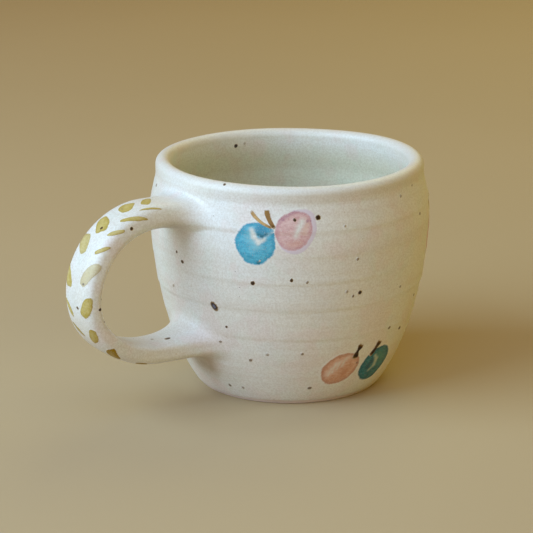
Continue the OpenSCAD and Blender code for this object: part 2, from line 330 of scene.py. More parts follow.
def connect(tree, shader, colour, roughness, height):
    tree.put(shader.inputs["Base Color"], colour)
    tree.put(shader.inputs["Roughness"], roughness)
    bump = tree.add("ShaderNodeBump")
    bump.inputs["Strength"].default_value = 1.0
    bump.inputs["Distance"].default_value = 1.0
    tree.put(bump.inputs["Height"], height)
    tree.put(shader.inputs["Normal"], bump.outputs["Normal"])


def glaze_material():
    material, t, shader, white, rough, height = glazed_material("satin_glaze")
    connect(t, shader, white, rough, height)
    return material


# What the painted shade deep in the cup multiplies the glaze by
LINER_SHADE = (0.87, 0.87, 0.76)


def liner_material():
    """The same glaze inside, with painted shade: darker and yellower deeper in the cup."""
    material, t, shader, white, rough, height = glazed_material("liner_glaze")
    deep_shade = t.step(t.split(t.place())[2], HEIGHT - 2.5 * MM, HEIGHT - 12 * MM)
    connect(t, shader, t.mix(deep_shade, white, LINER_SHADE, "MULTIPLY"), rough, height)
    return material


CLAY_DARK, CLAY_LIGHT = (0.72, 0.61, 0.54), (0.79, 0.68, 0.61)
CLAY_GRAIN, CLAY_SPECK = (0.84, 0.75, 0.69), (0.12, 0.07, 0.045)
TURNING_GAP = 1.1 * MM


def clay_material():
    """Bare fired stoneware: pale and rosy, with grog and turning lines."""
    material, t, shader = new_material("bare_clay")
    place = t.place()
    clouds = t.noise(place, 5 * MM, 3)
    grain = t.noise(place, 0.45 * MM, 3, 0.65)
    radius = t.vector("LENGTH", t.stretch(place, (1, 1, 0)))
    rings = t.math("SINE", t.plus(t.times(radius, 2 * math.pi / TURNING_GAP), t.times(clouds, 3.0)))
    colour = t.mix(t.step(clouds, 0.35, 0.7), CLAY_DARK, CLAY_LIGHT)
    colour = t.layer(colour, CLAY_GRAIN, 0.5, grain, 0.56, 0.7)
    colour = t.mix(specks(t, place, 1.7 * MM, 0.24 * MM, 0.4), colour, CLAY_SPECK)
    height = t.plus(t.times(rings, 0.025 * MM), t.times(grain, 0.06 * MM))
    connect(t, shader, colour, t.scale(grain, 0.72, 0.95), height)
    return material


FLOOR_DARK, FLOOR_LIGHT = (0.47, 0.365, 0.215), (0.51, 0.395, 0.235)


def floor_material():
    material, t, shader = new_material("pale_floor")
    cloud = t.noise(t.place(), 0.25, 3)
    t.put(shader.inputs["Base Color"], t.mix(cloud, FLOOR_DARK, FLOOR_LIGHT))
    t.put(shader.inputs["Roughness"], t.scale(cloud, 0.75, 0.9))
    return material


# ---------------------------------------------------------------- painted marks' materials

def capsule(t, spot, start, end, radius, soft, ragged):
    """1 inside a brush stroke from start to end on the mark, falling to 0 over soft, with a ragged edge."""
    start, end = np.array([*start, 0.0]), np.array([*end, 0.0])
    along = end - start
    away = t.vector("SUBTRACT", spot, tuple(start))
    share = t.times(t.vector("DOT_PRODUCT", away, tuple(along)), 1 / float(along @ along), True)
    scaled = t.add("ShaderNodeVectorMath", operation="SCALE")
    scaled.inputs[0].default_value = tuple(along)
    t.put(scaled.inputs["Scale"], share)
    gap = t.vector("LENGTH", t.vector("SUBTRACT", away, scaled.outputs[0]))
    return t.step(t.plus(gap, ragged), radius + soft, radius - soft)


def paint_material(name, thin, full, edge, strokes, seed, halo=None, heavy=None, gloss=(0.30, 0.46),
                   fray=1.0, edge_share=0.65, flecks=0.42, specular=0.4):
    """Brushed colour over the glaze. The mesh's mark attribute is the place on the mark, 1 at its edge.

    thin, full and edge are the colour where it is laid thin, thick, and where it pools at the rim;
    heavy, if any, where the mark's third number is 1, and at -1 the paint is half washed out. Strokes
    lie over that in turn, as (start, end, radius, softness, strength, colour); a colour of None is the
    bare glaze. The halo is a disc of tinted glaze under the paint: (middle, radius, tint, strength).
    Seed moves the texture, and fray is how ragged the rim is. Edge_share is how strongly the rim's colour
    shows, flecks the share of bare glaze in the pinholes, gloss the roughness where the paint is thin and
    thick, and specular how strongly it shines.
    """
    material, t, shader, white, bare_rough, bare_height = glazed_material(name, Specular_IOR_Level=specular)
    place = t.vector("ADD", t.place(), (seed, -seed, seed))
    flat, away, load = t.mark()
    waver = t.minus(t.noise(place, 3.0 * MM, 3, 0.6), 0.5)
    crumb = t.minus(t.noise(place, 0.5 * MM, 3, 0.7), 0.5)
    ragged = t.plus(t.times(waver, 0.20 * fray), t.times(crumb, 0.16 * fray))
    reach = t.plus(away, ragged)
    covered = t.step(reach, 1.03, 0.93)
    body = t.noise(place, 1.6 * MM, 4, 0.65)
    brushed = t.noise(t.stretch(place, (0.35, 0.35, 1)), 0.7 * MM, 3, 0.6)
    fleck = t.noise(place, 0.38 * MM, 2, 0.6)
    density = t.plus(t.times(body, 0.34), t.plus(t.times(fleck, 0.36), t.times(brushed, 0.30)))
    colour = t.mix(t.step(density, 0.41, 0.58), thin, full)
    colour = t.layer(colour, edge, edge_share, reach, 0.70, 0.96)
    if heavy:
        colour = t.layer(colour, white, 0.55, load, 0.0, -1.0)
        colour = t.mix(t.step(t.plus(load, t.times(waver, 0.8)), 0.0, 1.0), colour, heavy)
    for start, end, radius, soft, strength, tint in strokes:
        stroke = capsule(t, flat, start, end, radius, soft, ragged)
        share = t.times(stroke, t.plus(strength, t.times(crumb, 0.5)), True)
        colour = t.mix(share, colour, tint or white)
    colour = t.layer(colour, white, flecks, fleck, 0.56, 0.68)
    ground = t.layer(white, PALE_GRAIN, 0.45, reach, 1.17, 1.04)
    if halo:
        middle, radius, tint, strength = halo
        off = t.plus(t.vector("DISTANCE", flat, (*middle, 0)), ragged)
        ground = t.layer(ground, tint, strength, off, radius + 0.05, radius - 0.05)
    colour = t.mix(covered, ground, colour)
    rough = t.plus(t.times(covered, t.scale(density, *gloss)), t.times(t.minus(1.0, covered), bare_rough))
    height = t.plus(bare_height, t.times(t.times(covered, density), 0.06 * MM))
    connect(t, shader, colour, rough, height)
    return material


BLUE_LIGHT, BLUE_DEEP, BLUE_INK = (0.300, 0.600, 0.650), (0.045, 0.260, 0.400), (0.012, 0.140, 0.190)
PLUM = (0.33, 0.12, 0.20)
# the salmon fruit's painted highlight
SALMON_PAINTED_HIGHLIGHT = (0.80, 0.66, 0.60)
TEAL_PALE, TEAL_MOSS, TEAL_INK = (0.44, 0.50, 0.42), (0.070, 0.250, 0.200), (0.005, 0.075, 0.120)
PAINTS = {
    "blue": dict(
        thin=(0.120, 0.500, 0.640), full=(0.036, 0.315, 0.470), edge=(0.026, 0.280, 0.430),
        seed=0.11, fray=0.85, flecks=0.32,
        strokes=[((0.18, 0.62), (0.28, 0.54), 0.24, 0.10, 0.80, BLUE_DEEP),
                 ((-0.30, 0.60), (-0.10, 0.36), 0.10, 0.16, 0.55, BLUE_LIGHT),
                 ((-0.36, 0.28), (-0.02, -0.10), 0.14, 0.30, 0.70, BLUE_LIGHT),
                 ((0.00, -0.22), (0.30, -0.12), 0.06, 0.20, 0.45, BLUE_LIGHT),
                 ((-0.22, 0.62), (-0.12, 0.34), 0.08, 0.13, 0.90, None),
                 ((-0.12, 0.34), (0.13, 0.05), 0.10, 0.14, 1.00, None),
                 ((0.13, 0.05), (0.38, 0.19), 0.09, 0.13, 0.90, None),
                 ((0.38, 0.19), (0.72, 0.54), 0.03, 0.12, 0.40, None),
                 ((0.09, 0.41), (0.28, 0.31), 0.04, 0.07, 0.95, BLUE_INK),
                 ((0.28, 0.31), (0.47, 0.41), 0.04, 0.07, 0.95, BLUE_INK),
                 ((0.11, -0.88), (0.13, -0.88), 0.06, 0.05, 0.95, BLUE_INK)]),
    "pink": dict(
        thin=(0.760, 0.545, 0.510), full=(0.625, 0.345, 0.330), edge=(0.520, 0.250, 0.290),
        seed=0.37, fray=0.8, flecks=0.62, edge_share=0.45,
        halo=((0.20, -0.08), 1.12, (0.67, 0.56, 0.66), 0.70),
        strokes=[((-0.80, 0.55), (0.05, 1.00), 0.06, 0.16, 0.60, PLUM),
                 ((0.20, 0.98), (0.75, 0.85), 0.05, 0.14, 0.45, PLUM),
                 ((0.64, 0.30), (0.52, -0.05), 0.14, 0.18, 0.70, (0.73, 0.53, 0.42)),
                 ((-0.20, -0.70), (0.30, -0.66), 0.10, 0.20, 0.50, (0.66, 0.36, 0.27)),
                 ((0.36, 0.42), (0.11, -0.24), 0.13, 0.16, 1.00, None),
                 ((-0.57, 0.55), (-0.55, 0.55), 0.05, 0.06, 0.85, PLUM),
                 ((0.64, 0.46), (0.66, 0.46), 0.05, 0.06, 0.85, PLUM),
                 ((0.82, 0.48), (0.84, 0.48), 0.04, 0.06, 0.75, PLUM)]),
    "salmon": dict(
        thin=(0.760, 0.485, 0.355), full=(0.620, 0.305, 0.185), edge=(0.450, 0.190, 0.120),
        seed=0.53, fray=0.8,
        # the first seven strokes, pale patches and thin bare streaks over the upper left, are painted
        # highlight: the sheen of the glossy paint
        strokes=[((-0.66, 0.02), (-0.12, 0.44), 0.12, 0.22, 0.85, SALMON_PAINTED_HIGHLIGHT),
                 ((-0.12, 0.44), (0.48, 0.50), 0.10, 0.20, 0.85, SALMON_PAINTED_HIGHLIGHT),
                 ((-0.40, 0.02), (0.14, 0.14), 0.06, 0.16, 0.65, SALMON_PAINTED_HIGHLIGHT),
                 ((-0.66, -0.14), (-0.44, 0.28), 0.02, 0.05, 0.80, None),
                 ((-0.44, 0.00), (-0.18, 0.52), 0.02, 0.05, 0.85, None),
                 ((-0.20, 0.08), (0.10, 0.58), 0.02, 0.05, 0.85, None),
                 ((0.06, 0.14), (0.40, 0.54), 0.02, 0.05, 0.75, None),
                 ((0.38, -0.24), (-0.05, -0.62), 0.14, 0.25, 0.60, (0.56, 0.22, 0.10)),
                 ((0.85, -0.14), (0.87, -0.14), 0.05, 0.05, 0.80, (0.16, 0.06, 0.04))]),
    "teal": dict(
        thin=(0.034, 0.235, 0.275), full=(0.009, 0.128, 0.168), edge=(0.006, 0.095, 0.135),
        seed=0.71, fray=0.7, flecks=0.16, gloss=(0.18, 0.32),
        strokes=[((0.32, 0.50), (0.50, -0.05), 0.16, 0.22, 0.75, TEAL_MOSS),
                 ((-0.42, 0.05), (-0.25, 0.30), 0.16, 0.14, 0.80, TEAL_INK),
                 ((0.03, 0.52), (0.11, 0.19), 0.06, 0.10, 0.90, TEAL_PALE),
                 ((0.11, 0.19), (0.01, -0.14), 0.10, 0.11, 1.00, TEAL_PALE),
                 ((0.01, -0.14), (-0.34, -0.27), 0.06, 0.10, 0.85, TEAL_PALE),
                 ((0.60, 0.60), (0.66, 0.56), 0.07, 0.08, 0.70, TEAL_MOSS)]),
    # olive-gold brush dabs, thin in the middle and pooled at the rim
    "gold": dict(
        thin=(0.590, 0.475, 0.170), full=(0.465, 0.350, 0.070), edge=(0.360, 0.255, 0.035),
        seed=0.89, fray=1.3, flecks=0.25, edge_share=0.5, gloss=(0.26, 0.42), heavy=(0.330, 0.195, 0.001),
        specular=0.2, strokes=[((-0.35, 0.0), (0.20, 0.15), 0.20, 0.40, 0.30, (0.67, 0.58, 0.30))]),
}
OCHRE_WASH, BROWN_LINE, DARK_LINE = (0.560, 0.330, 0.090), (0.270, 0.125, 0.012), (0.022, 0.007, 0.002)
LINE_EDGE = (0.330, 0.175, 0.025)
RUST_RIM, IRON_CORE, BLUE_EYE = (0.330, 0.200, 0.065), (0.030, 0.012, 0.006), (0.135, 0.140, 0.200)


def line_material():
    """Iron brush lines: the mark's third number goes from ochre wash at 0 to dark brown at 1."""
    material, t, shader, white, _, bare_height = glazed_material("brown_paint", Specular_IOR_Level=0.2)
    place = t.place()
    _, away, strength = t.mark()
    crumb = t.minus(t.noise(place, 0.45 * MM, 3, 0.7), 0.5)
    reach = t.plus(away, t.times(crumb, 0.45))
    covered = t.step(reach, 1.08, 0.84)
    cloud = t.minus(t.noise(place, 0.9 * MM, 2), 0.5)
    load = t.plus(strength, t.times(cloud, 0.7))
    colour = t.mix(t.step(load, 0.05, 0.50), OCHRE_WASH, BROWN_LINE)
    colour = t.mix(t.step(load, 0.55, 0.95), colour, DARK_LINE)
    colour = t.layer(colour, LINE_EDGE, 0.65, reach, 0.60, 0.92)
    colour = t.mix(t.times(covered, t.scale(strength, 0.88, 1.0)), white, colour)
    height = t.plus(bare_height, t.times(covered, 0.03 * MM))
    connect(t, shader, colour, t.scale(covered, 0.45, 0.50), height)
    return material


def speck_material():
    """Iron spots with a rusty rim: the mark's third number says how strong each one is."""
    material, t, shader, white, _, bare_height = glazed_material("iron_specks")
    _, away, strength = t.mark()
    ragged = t.times(t.minus(t.noise(t.place(), 0.5 * MM, 2), 0.5), 0.5)
    reach = t.plus(away, ragged)
    rim = t.times(t.step(reach, 1.08, 0.70), t.scale(strength, 0.25, 1.0))
    core = t.times(t.step(reach, 0.86, 0.56), t.scale(strength, 0.0, 1.0))
    eye = t.times(t.step(reach, 0.50, 0.26), t.step(strength, 1.2, 1.6))
    colour = white
    for share, tint in ((rim, RUST_RIM), (core, IRON_CORE), (eye, BLUE_EYE)):
        colour = t.mix(share, colour, tint)
    height = t.minus(bare_height, t.times(core, 0.05 * MM))
    connect(t, shader, colour, t.scale(core, 0.44, 0.30), height)
    return material


# ---------------------------------------------------------------- shapes shared with the CAD model

GLAZE_T = 0.35 * MM
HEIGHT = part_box("outer_glaze")[1].z
BELLY_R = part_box("outer_glaze")[1].y
BELLY_Z = 55 * MM
FOOT_R, FOOT_EDGE, FOOT_LEAN, FOOT_PULL = 30.8 * MM, 0.8 * MM, math.radians(33), 22.4 * MM
FOOT_HOLLOW, FOOT_RING = 2.4 * MM, 4.2 * MM
NECK_R, NECK_Z, NECK_PULL = BELLY_R - 1.9 * MM, 70 * MM, 2.8 * MM
BELLY_PULL = (6.4 * MM, 7.5 * MM)
# The wall's thickness below the lip, and the lip's radius
WALL, LIP_R = 4 * MM, 2.45 * MM
FLOOR_Z, FLOOR_CORNER, INSIDE_PULL, LIP_PULL = 6.8 * MM, (9.5 * MM, 25 * MM), (7 * MM, 19 * MM), 6 * MM
LIP_MID = np.array([NECK_R - LIP_R, HEIGHT - LIP_R])


def curve(p, t):
    """Points at t, from 0 to 1, on the cubic curve with the four control points p."""
    p, t = np.array(p, float), np.asarray(t, float)[..., None]
    return (1 - t)**3 * p[0] + 3 * (1 - t)**2 * t * p[1] + 3 * (1 - t) * t * t * p[2] + t**3 * p[3]


def arc(mid, radius, start, end, count):
    a = np.radians(np.linspace(start, end, count))
    return np.array(mid) + radius * np.stack([np.cos(a), np.sin(a)], 1)


SAME_POINT = 1e-7


def joined(*pieces):
    """Profiles laid end to end, without doubled points."""
    points = [p for piece in pieces for p in piece]
    return np.array([p for i, p in enumerate(points)
                     if i == 0 or np.linalg.norm(p - points[i - 1]) > SAME_POINT])


def run_of(line):
    """How far along the profile each of its points lies."""
    return np.concatenate([[0], np.cumsum(np.linalg.norm(np.diff(line, axis=0), axis=1))])


def evenly(line, gap):
    """The same profile, with points about this far apart."""
    length = run_of(line)
    at = np.linspace(0, length[-1], max(2, round(length[-1] / gap) + 1))
    return np.stack([np.interp(at, length, line[:, k]) for k in (0, 1)], 1)


def spaced(line, gap):
    """Indices of points of a profile that are about this far apart, and how far along they lie."""
    length = run_of(line)
    at = np.linspace(0, length[-1], round(length[-1] / gap) + 1)
    return np.searchsorted(length, at - 1e-9), at


def normals(line):
    """Unit normals, on the right of the direction in which the profile runs."""
    d = np.gradient(line, axis=0)
    d /= np.linalg.norm(d, axis=1)[:, None]
    return np.stack([d[:, 1], -d[:, 0]], 1)


FINE = np.linspace(0, 1, 400)
FOOT_TO_BELLY = curve([(FOOT_R, FOOT_EDGE),
                       (FOOT_R + FOOT_PULL * math.sin(FOOT_LEAN), FOOT_PULL * math.cos(FOOT_LEAN)),
                       (BELLY_R, BELLY_Z - BELLY_PULL[0]), (BELLY_R, BELLY_Z)], FINE)
BELLY_TO_NECK = curve([(BELLY_R, BELLY_Z), (BELLY_R, BELLY_Z + BELLY_PULL[1]),
                       (NECK_R, NECK_Z - NECK_PULL), (NECK_R, NECK_Z)], FINE)
WALL_LINE = joined(FOOT_TO_BELLY, BELLY_TO_NECK, [LIP_MID + [LIP_R, 0]])
WALL_SIDE = normals(WALL_LINE)
LIP_INSIDE = LIP_MID - [LIP_R, 0]
INSIDE_LINE = joined(
    curve([LIP_INSIDE, LIP_INSIDE - [0, LIP_PULL], (BELLY_R - WALL, BELLY_Z + INSIDE_PULL[0]),
           (BELLY_R - WALL, BELLY_Z)], FINE),
    curve([(BELLY_R - WALL, BELLY_Z), (BELLY_R - WALL, BELLY_Z - INSIDE_PULL[1]),
           (BELLY_R - FLOOR_CORNER[0], FLOOR_Z), (BELLY_R - FLOOR_CORNER[1], FLOOR_Z)], FINE))
INSIDE_SIDE = normals(INSIDE_LINE)


def wall_radius(z):
    return np.interp(z, WALL_LINE[:, 1], WALL_LINE[:, 0])


def smooth(value, low, high):
    """Rises smoothly from 0 at low to 1 at high."""
    x = np.clip((np.asarray(value, float) - low) / (high - low), 0, 1)
    return x * x * (3 - 2 * x)


def ripple(angle, *waves):
    """A sum of waves round the mug, each as its height, how many stand round it, and its phase."""
    return sum(height * np.cos(count * angle + phase) for height, count, phase in waves)


# ---------------------------------------------------------------- the hand's traces on the wall

# Height, depth, phase round the mug and how far up it fades, of each ridge that the thrower's fingers
# left, in mm, but the phase in radians
RIDGES = [(13.0, 0.05, 0.4, 4), (18.6, 0.08, 2.1, 4), (24.6, 0.11, 4.0, 5), (34.7, 0.21, 1.2, 5),
          (44.4, 0.14, 5.1, 5), (52.4, 0.09, 3.0, 4), (60.6, 0.24, 0.7, 6)]
# Waves over the whole wall: how many stand round the mug, how fast they turn with height, and their phase
ring_draw = np.random.default_rng(5)
DENTS = [(ring_draw.integers(1, 6), ring_draw.uniform(2, 4.5) / (30 * MM),
          ring_draw.uniform(0, 2 * math.pi)) for _ in range(9)]
RIPPLES = [(ring_draw.integers(1, 12), 2 * math.pi / (ring_draw.uniform(1.6, 4.6) * MM),
            ring_draw.uniform(0, 2 * math.pi)) for _ in range(26)]
# The height of each wave in mm
DENT_DEPTH, RIPPLE_DEPTH = 0.014, 0.0028
# The wall is a little oval and three-sided; the heights of these waves are in mm
OUT_OF_ROUND = (0.16, 2, 0.6), (0.07, 3, 1.9)
# Depth, height and spread, in mm, of the groove under the lip
GROOVE_DEPTH, GROOVE_Z, GROOVE_SPREAD = 0.13, 69.6, 1.7
LIP_WAVE, LIP_DROP = ((0.20 * MM, 2, 1.0), (0.07 * MM, 5, 0)), 0.14 * MM


def relief(angle, z):
    """How far the thrown wall stands out from its true profile. The angle is in radians."""
    angle, z = np.asarray(angle, float), np.asarray(z, float)
    total = smooth(z, 0, 20 * MM) * ripple(angle, *OUT_OF_ROUND)
    for waves, depth in ((DENTS, DENT_DEPTH), (RIPPLES, RIPPLE_DEPTH)):
        total = total + sum(np.cos(m * angle + k * z + f) for m, k, f in waves) * depth
    for height, depth, phase, fade in RIDGES:
        above = z / MM - height - 0.35 * np.cos(angle + phase) - 0.15 * np.cos(3 * angle + 2 * phase)
        strength = depth * (1 + 0.3 * np.cos(2 * angle + phase) + 0.2 * np.cos(5 * angle + 3 * phase))
        total = total + strength * smooth(above, -0.7, 0.7) * np.exp(-np.maximum(above - 0.7, 0) / fade)
    total = total - GROOVE_DEPTH * np.exp(-((z / MM - GROOVE_Z) / GROOVE_SPREAD)**2)
    return total * MM * (1 - 0.75 * smooth(z, 69.5 * MM, 74 * MM))


def lip_rise(angle, z):
    """The lip isn't quite level."""
    return (ripple(angle, *LIP_WAVE) - LIP_DROP) * smooth(z, 60 * MM, HEIGHT)


def skin(angle, r, z, side, push):
    """A point at [r, z] of a turned profile, pushed out along its normal, on a lip that isn't level."""
    r = r + side[0] * push
    return np.stack([r * np.cos(angle), r * np.sin(angle), z + side[1] * push + lip_rise(angle, z)], -1)


def wall_point(angle, z, out=0.0):
    """A point on the glazed wall's outside, at distance out from it."""
    side = [np.interp(z, WALL_LINE[:, 1], WALL_SIDE[:, k]) for k in (0, 1)]
    return skin(angle, wall_radius(z), np.asarray(z, float), side, relief(angle, z) + out)


# ---------------------------------------------------------------- meshes

def mesh_object(name, mesh, material):
    """An object from points, faces and, on a painted mark, each point's place on it."""
    points, faces, *marks = mesh
    data = bpy.data.meshes.new(name)
    data.from_pydata([tuple(map(float, p)) for p in points], [], [tuple(map(int, f)) for f in faces])
    data.validate()
    data.polygons.foreach_set("use_smooth", [True] * len(data.polygons))
    if marks:
        layer = data.attributes.new("mark", "FLOAT_VECTOR", "POINT")
        layer.data.foreach_set("vector", np.asarray(marks[0], np.float32).ravel())
    data.update()
    data.materials.append(material)
    return add_object(name, data)


def make_piece(name, mesh, material, slot, *nodes):
    """The piece rides on the mug and stands for the CAD nodes that it replaces; its slot is not used."""
    obj = mesh_object(name, mesh, material)
    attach(obj, BODY)
    if nodes:
        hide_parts(*nodes)


def grid_faces(rows, columns, start=0):
    """Quads between rings that each run round a closed loop."""
    faces = []
    for k in range(rows - 1):
        a, b = start + k * columns, start + (k + 1) * columns
        faces += [(a + i, a + (i + 1) % columns, b + (i + 1) % columns, b + i) for i in range(columns)]
    return faces


def fan_faces(ring_start, columns, tip, flip):
    pairs = [(ring_start + i, ring_start + (i + 1) % columns) for i in range(columns)]
    return [(b, a, tip) if flip else (a, b, tip) for a, b in pairs]


def capped(rings, first_tip, last_tip):
    """Rings closed by a fan at each end: points and faces."""
    count, columns = len(rings), len(rings[0])
    points = np.concatenate([*rings, [first_tip], [last_tip]])
    faces = grid_faces(count, columns) + fan_faces(0, columns, count * columns, True)
    return points, faces + fan_faces((count - 1) * columns, columns, count * columns + 1, False)


def looped(rings):
    """Rings that come back to the first: points and faces."""
    faces = grid_faces(len(rings) + 1, len(rings[0]))
    points = np.concatenate(rings)
    return points, [tuple(i % len(points) for i in face) for face in faces]


AROUND = 288
# The coats outside and inside cross this far inside the lip, and part by this times the distance squared
COATS_MEET, COATS_PART = 2.4 * MM, 0.025 / MM
ANGLES = np.linspace(-math.pi, math.pi, AROUND, endpoint=False)


def lip_ring(angles, t, inset=0.0):
    """A ring on the lip: t runs from 0 degrees at its outer side, over the top, to 180 inside."""
    side = (math.cos(math.radians(t)), math.sin(math.radians(t)))
    r, z = LIP_MID + LIP_R * np.array(side)
    return skin(angles, r, z, side, relief(angles, z) * (1 - smooth(t, 60, 180)) - inset)


def inside_ring(angles, k, push):
    """A ring on the inside's profile at its point k, pushed into the cup."""
    return skin(angles, *INSIDE_LINE[k], INSIDE_SIDE[k], push)


COAT_END = FOOT_EDGE + 0.35 * MM
COAT_EDGE_WAVE = (0.12 * MM, 3, 1), (0.07 * MM, 8, 0)
# The coat's rolled end, from the clay outwards: up from its wavy edge and out from the wall's skin, in mm
COAT_ROLL = (0.2, -0.34), (0, -0.14), (0.1, -0.03)
COAT_GAP, CLAY_GAP = 0.42 * MM, 0.9 * MM
INSIDE_GAP = 0.5 * MM


def make_outer_coat(material):
    """The glaze outside and over the lip: its skin folds back to the clay below the glaze line."""
    edge = COAT_END + ripple(ANGLES, *COAT_EDGE_WAVE)
    heights = np.arange(COAT_END + 0.6 * MM, LIP_MID[1], COAT_GAP)
    rings = [wall_point(ANGLES, edge + up * MM, out * MM) for up, out in COAT_ROLL]
    rings += [wall_point(ANGLES, z) for z in heights]
    rings += [lip_ring(ANGLES, t) for t in np.linspace(0, 180, 46)]
    picks, at = spaced(INSIDE_LINE, INSIDE_GAP)
    rings += [inside_ring(ANGLES, k, -COATS_PART * max(s - COATS_MEET, 0)**2)
              for k, s in zip(picks[1:10], at[1:10])]
    rings += [lip_ring(ANGLES, t, GLAZE_T) for t in np.linspace(170, 0, 9)]
    rings += [wall_point(ANGLES, z, -GLAZE_T) for z in heights[::-12]]
    make_piece("outer_glaze_coat", looped(rings), material, "satin_glaze", "outer_glaze")


# The grooves that fingers left inside: the gap between them and their depth; and the floor's swell
FINGER_GAP, FINGER_DEPTH, FLOOR_SWELL = 7.6 * MM, 0.09 * MM, 0.10 * MM


def inside_relief(angle, s):
    """How far the inside stands out, at s along its profile from the lip: finger grooves, a slight oval."""
    shown = smooth(s, 4 * MM, 14 * MM)
    fingers = FINGER_DEPTH * np.cos(2 * math.pi * s / FINGER_GAP) * (1 + 0.4 * np.cos(angle + s / (6 * MM)))
    return shown * (fingers + 0.05 * MM * np.cos(2 * angle + 0.6)) - COATS_PART * max(COATS_MEET - s, 0)**2


def make_liner_coat(material):
    """The glaze inside: from under the lip's glaze down to the middle of the floor."""
    picks, at = spaced(INSIDE_LINE, INSIDE_GAP)
    rings = [inside_ring(ANGLES, k, inside_relief(ANGLES, s)) for k, s in zip(picks[1:], at[1:])]
    edge = rings[-1]
    middle = edge.mean(0)
    for share in (0.8, 0.6, 0.4, 0.2, 0.05):
        rings.append(edge * [share, share, 1] + [0, 0, FLOOR_SWELL * math.cos(6 * share)])
    under = [inside_ring(ANGLES, k, -GLAZE_T) for k in picks[1::8]]
    floor = [edge * [share, share, 1] - [0, 0, GLAZE_T] for share in (0.05, 0.5)]
    tips = middle - [0, 0, GLAZE_T], middle + [0, 0, FLOOR_SWELL]
    mesh = capped(floor + under[::-1] + rings, *tips)
    make_piece("liner_glaze_coat", mesh, material, "liner_glaze", "liner_glaze")


def make_thrown_body(material):
    """The clay: foot ring with its hollow and turning marks, wall, lip and floor."""
    angles = ANGLES[::2]
    ring_in = FOOT_R - FOOT_EDGE - FOOT_RING
    clay_r = FOOT_R - GLAZE_T
    under = evenly(joined([np.array([0.5 * MM, FOOT_HOLLOW])],
                          arc((ring_in - 1.6 * MM, FOOT_HOLLOW - 1 * MM), 1 * MM, 90, 30, 6),
                          arc((ring_in + 0.6 * MM, 0.6 * MM), 0.6 * MM, 200, 270, 6),
                          arc((clay_r - FOOT_EDGE, FOOT_EDGE), FOOT_EDGE, -90, -15, 8)), 0.35 * MM)
    turned = 0.03 * MM * np.cos(2 * math.pi * under[:, 0] / (1.3 * MM)) * (under[:, 1] > 2 * MM)
    rings = [np.stack([r * np.cos(angles), r * np.sin(angles), np.full(len(angles), z + d)], 1)
             for (r, z), d in zip(under, turned)]
    heights = np.arange(FOOT_EDGE + 0.3 * MM, LIP_MID[1], CLAY_GAP)
    rings += [wall_point(angles, z, -GLAZE_T * (1.0 if z > 2 * MM else 0.9)) for z in heights]
    rings += [lip_ring(angles, t, GLAZE_T) for t in np.linspace(0, 180, 13)]
    picks = spaced(INSIDE_LINE, 1.5 * MM)[0]
    rings += [inside_ring(angles, k, -GLAZE_T) for k in picks[1:]]
    mesh = capped(rings, [0, 0, FOOT_HOLLOW], [0, 0, FLOOR_Z - GLAZE_T])
    make_piece("thrown_clay_body", mesh, material, "clay", "thrown_body")


# ---------------------------------------------------------------- handle

REACH = -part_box("handle_glaze")[0].x
# The strap's thickness at its upper root, middle and lower root
STRAP_T = (8.3 * MM, 5.4 * MM, 4.9 * MM)
STRAP_HALF_W = 6.9 * MM + GLAZE_T
MID_REACH = REACH - STRAP_T[1] / 2 - GLAZE_T
REACH_Z = 42 * MM
ROOT_Z = (62.5 * MM, 20 * MM)
UPPER_START = np.array([wall_radius(ROOT_Z[0]), ROOT_Z[0]])
LOWER_END = np.array([wall_radius(ROOT_Z[1]), ROOT_Z[1]])
UPPER_HALF = [UPPER_START, UPPER_START + [26 * MM, 8 * MM],
              (MID_REACH, REACH_Z + 8.1 * MM), (MID_REACH, REACH_Z)]
LOWER_HALF = [(MID_REACH, REACH_Z), (MID_REACH, REACH_Z - 12.2 * MM),
              LOWER_END + [32 * MM, -3.8 * MM], LOWER_END]
# Where each root's smear on the wall lies: middle height, reach sideways, and reach from the middle on
# the strap's outer and inner sides. The strap is its plain self up to start, along its length, and tight
# is how closely the fillet hugs the corner on the outer and inner sides.
ROOTS = [
    dict(mid_z=62.4 * MM, across=19.0 * MM, outer=8.0 * MM, inner=4.6 * MM, start=0.105, tight=(0.4, 0.6)),
    dict(mid_z=19.2 * MM, across=18.0 * MM, outer=7.2 * MM, inner=11.0 * MM, start=0.87, tight=(0.5, 0.35)),
]
ROOT_DEPTH = -0.012 * MM    # where a root's thin edge lies, out from the wall's glaze


def strap_point(q):
    """The strap's middle line, [distance from the axis, z], from q = 0 at the upper root to 1."""
    return curve(UPPER_HALF, 2 * q) if q < 0.5 else curve(LOWER_HALF, 2 * q - 1)


def strap_out(q):
    d = strap_point(min(q + 0.001, 1)) - strap_point(max(q - 0.001, 0))
    return np.array([-d[1], d[0]]) / np.linalg.norm(d)


def strap_half_t(q):
    swell = 0.40 * MM * np.exp(-((q - 0.87) / 0.09)**2)
    return np.interp(q, [0, 0.5, 1], STRAP_T) / 2 + GLAZE_T + swell


def oval(section, half_w, half_t, square):
    """A squared oval at the angles in section; square is its exponent."""
    c, s = np.cos(section), np.sin(section)
    return (half_w * np.sign(c) * np.abs(c)**(2 / square), half_t * np.sign(s) * np.abs(s)**(2 / square))


